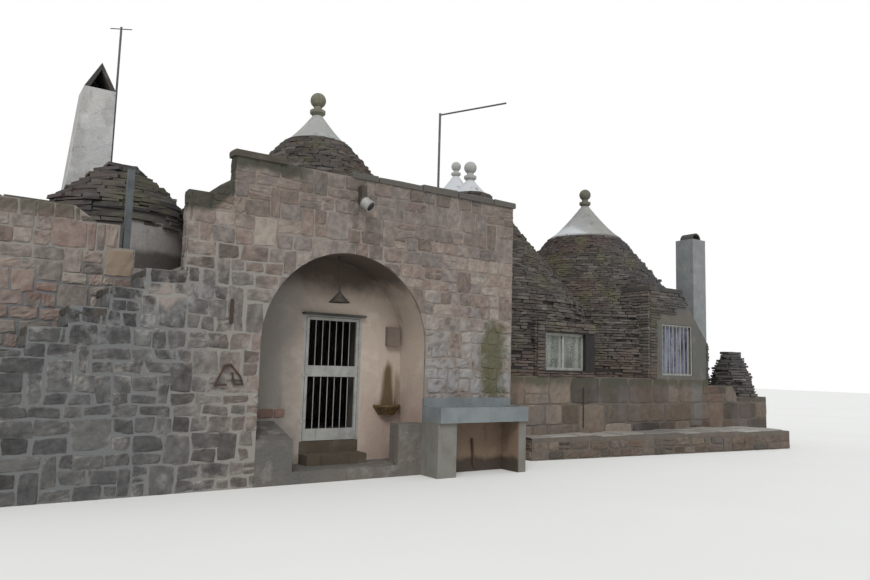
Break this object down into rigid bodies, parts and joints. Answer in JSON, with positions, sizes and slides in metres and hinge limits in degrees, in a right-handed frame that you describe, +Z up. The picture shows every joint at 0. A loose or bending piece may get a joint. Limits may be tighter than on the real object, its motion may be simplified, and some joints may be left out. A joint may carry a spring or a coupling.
{
  "type": "trullo house",
  "caption": "Trullo house: tall entrance block with an arched niche, stepped stair wall, low wing under dry stone cones with lime caps and ball finials, chimneys and a stone sink.",
  "frame": {"origin": "on the ground, in the middle of the entrance niche", "axes": "+X to the right along the facade as seen from outside, +Y into the building, +Z up; the facade looks towards -Y"},
  "size_m": [21.3, 12.3117, 8.555],
  "materials": {
    "stone": "rough squared limestone with lime mortar",
    "roof_stone": "rough dark limestone slabs laid dry",
    "plaster": "old lime plaster",
    "limewash": "limewash",
    "weathered_stone": "weathered limestone",
    "paving": "worn limestone",
    "sink_paint": "stained pale paint on masonry",
    "white_paint": "white gloss paint, a little rusty",
    "grey_metal": "dull galvanised and painted steel"
  },
  "bodies": {
    "house": {"facade_piers": "stone", "facade_upper": "stone", "niche_back_sides": "plaster", "niche_back_over": "plaster", "block_side_walls": "stone", "block_rear_wall": "stone", "block_roof": "paving", "coping": "roof_stone", "floors": "paving", "niche_floor": "paving", "threshold": "paving", "niche_benches": "stone", "door_frame": "white_paint", "sink_basin": "sink_paint", "sink_supports": "sink_paint", "facade_shoulder": "stone", "stair": "stone", "stair_treads": "paving", "left_front_wall": "stone", "left_side_wall": "stone", "left_rear_wall": "stone", "left_drum": "plaster", "left_cone": "roof_stone", "chimneys": "limewash", "chimney_cowls": "weathered_stone", "masts": "grey_metal", "main_cone": "roof_stone", "caps": "limewash", "finials": "weathered_stone", "right_front_wall": "stone", "right_rear_wall": "stone", "right_cross_walls": "stone", "middle_cone": "roof_stone", "right_cone": "roof_stone", "dormer": "plaster", "dormer_roof": "roof_stone", "window_frames": "white_paint", "wall_bench": "paving", "annex_base": "stone", "annex_cone": "roof_stone", "rear_walls": "stone", "rear_cone": "roof_stone", "lamps": "grey_metal", "wall_bowl": "weathered_stone", "meter_box": "grey_metal"},
    "door": {"door_leaf": "white_paint"}
  },
  "joints": [
    {"name": "door_hinge", "type": "hinge", "parent": "house", "child": "door", "pos_m": [-0.374, 0.39, 1.5], "axis": [0, 0, -1], "range_deg": [0, 90]}
  ]
}
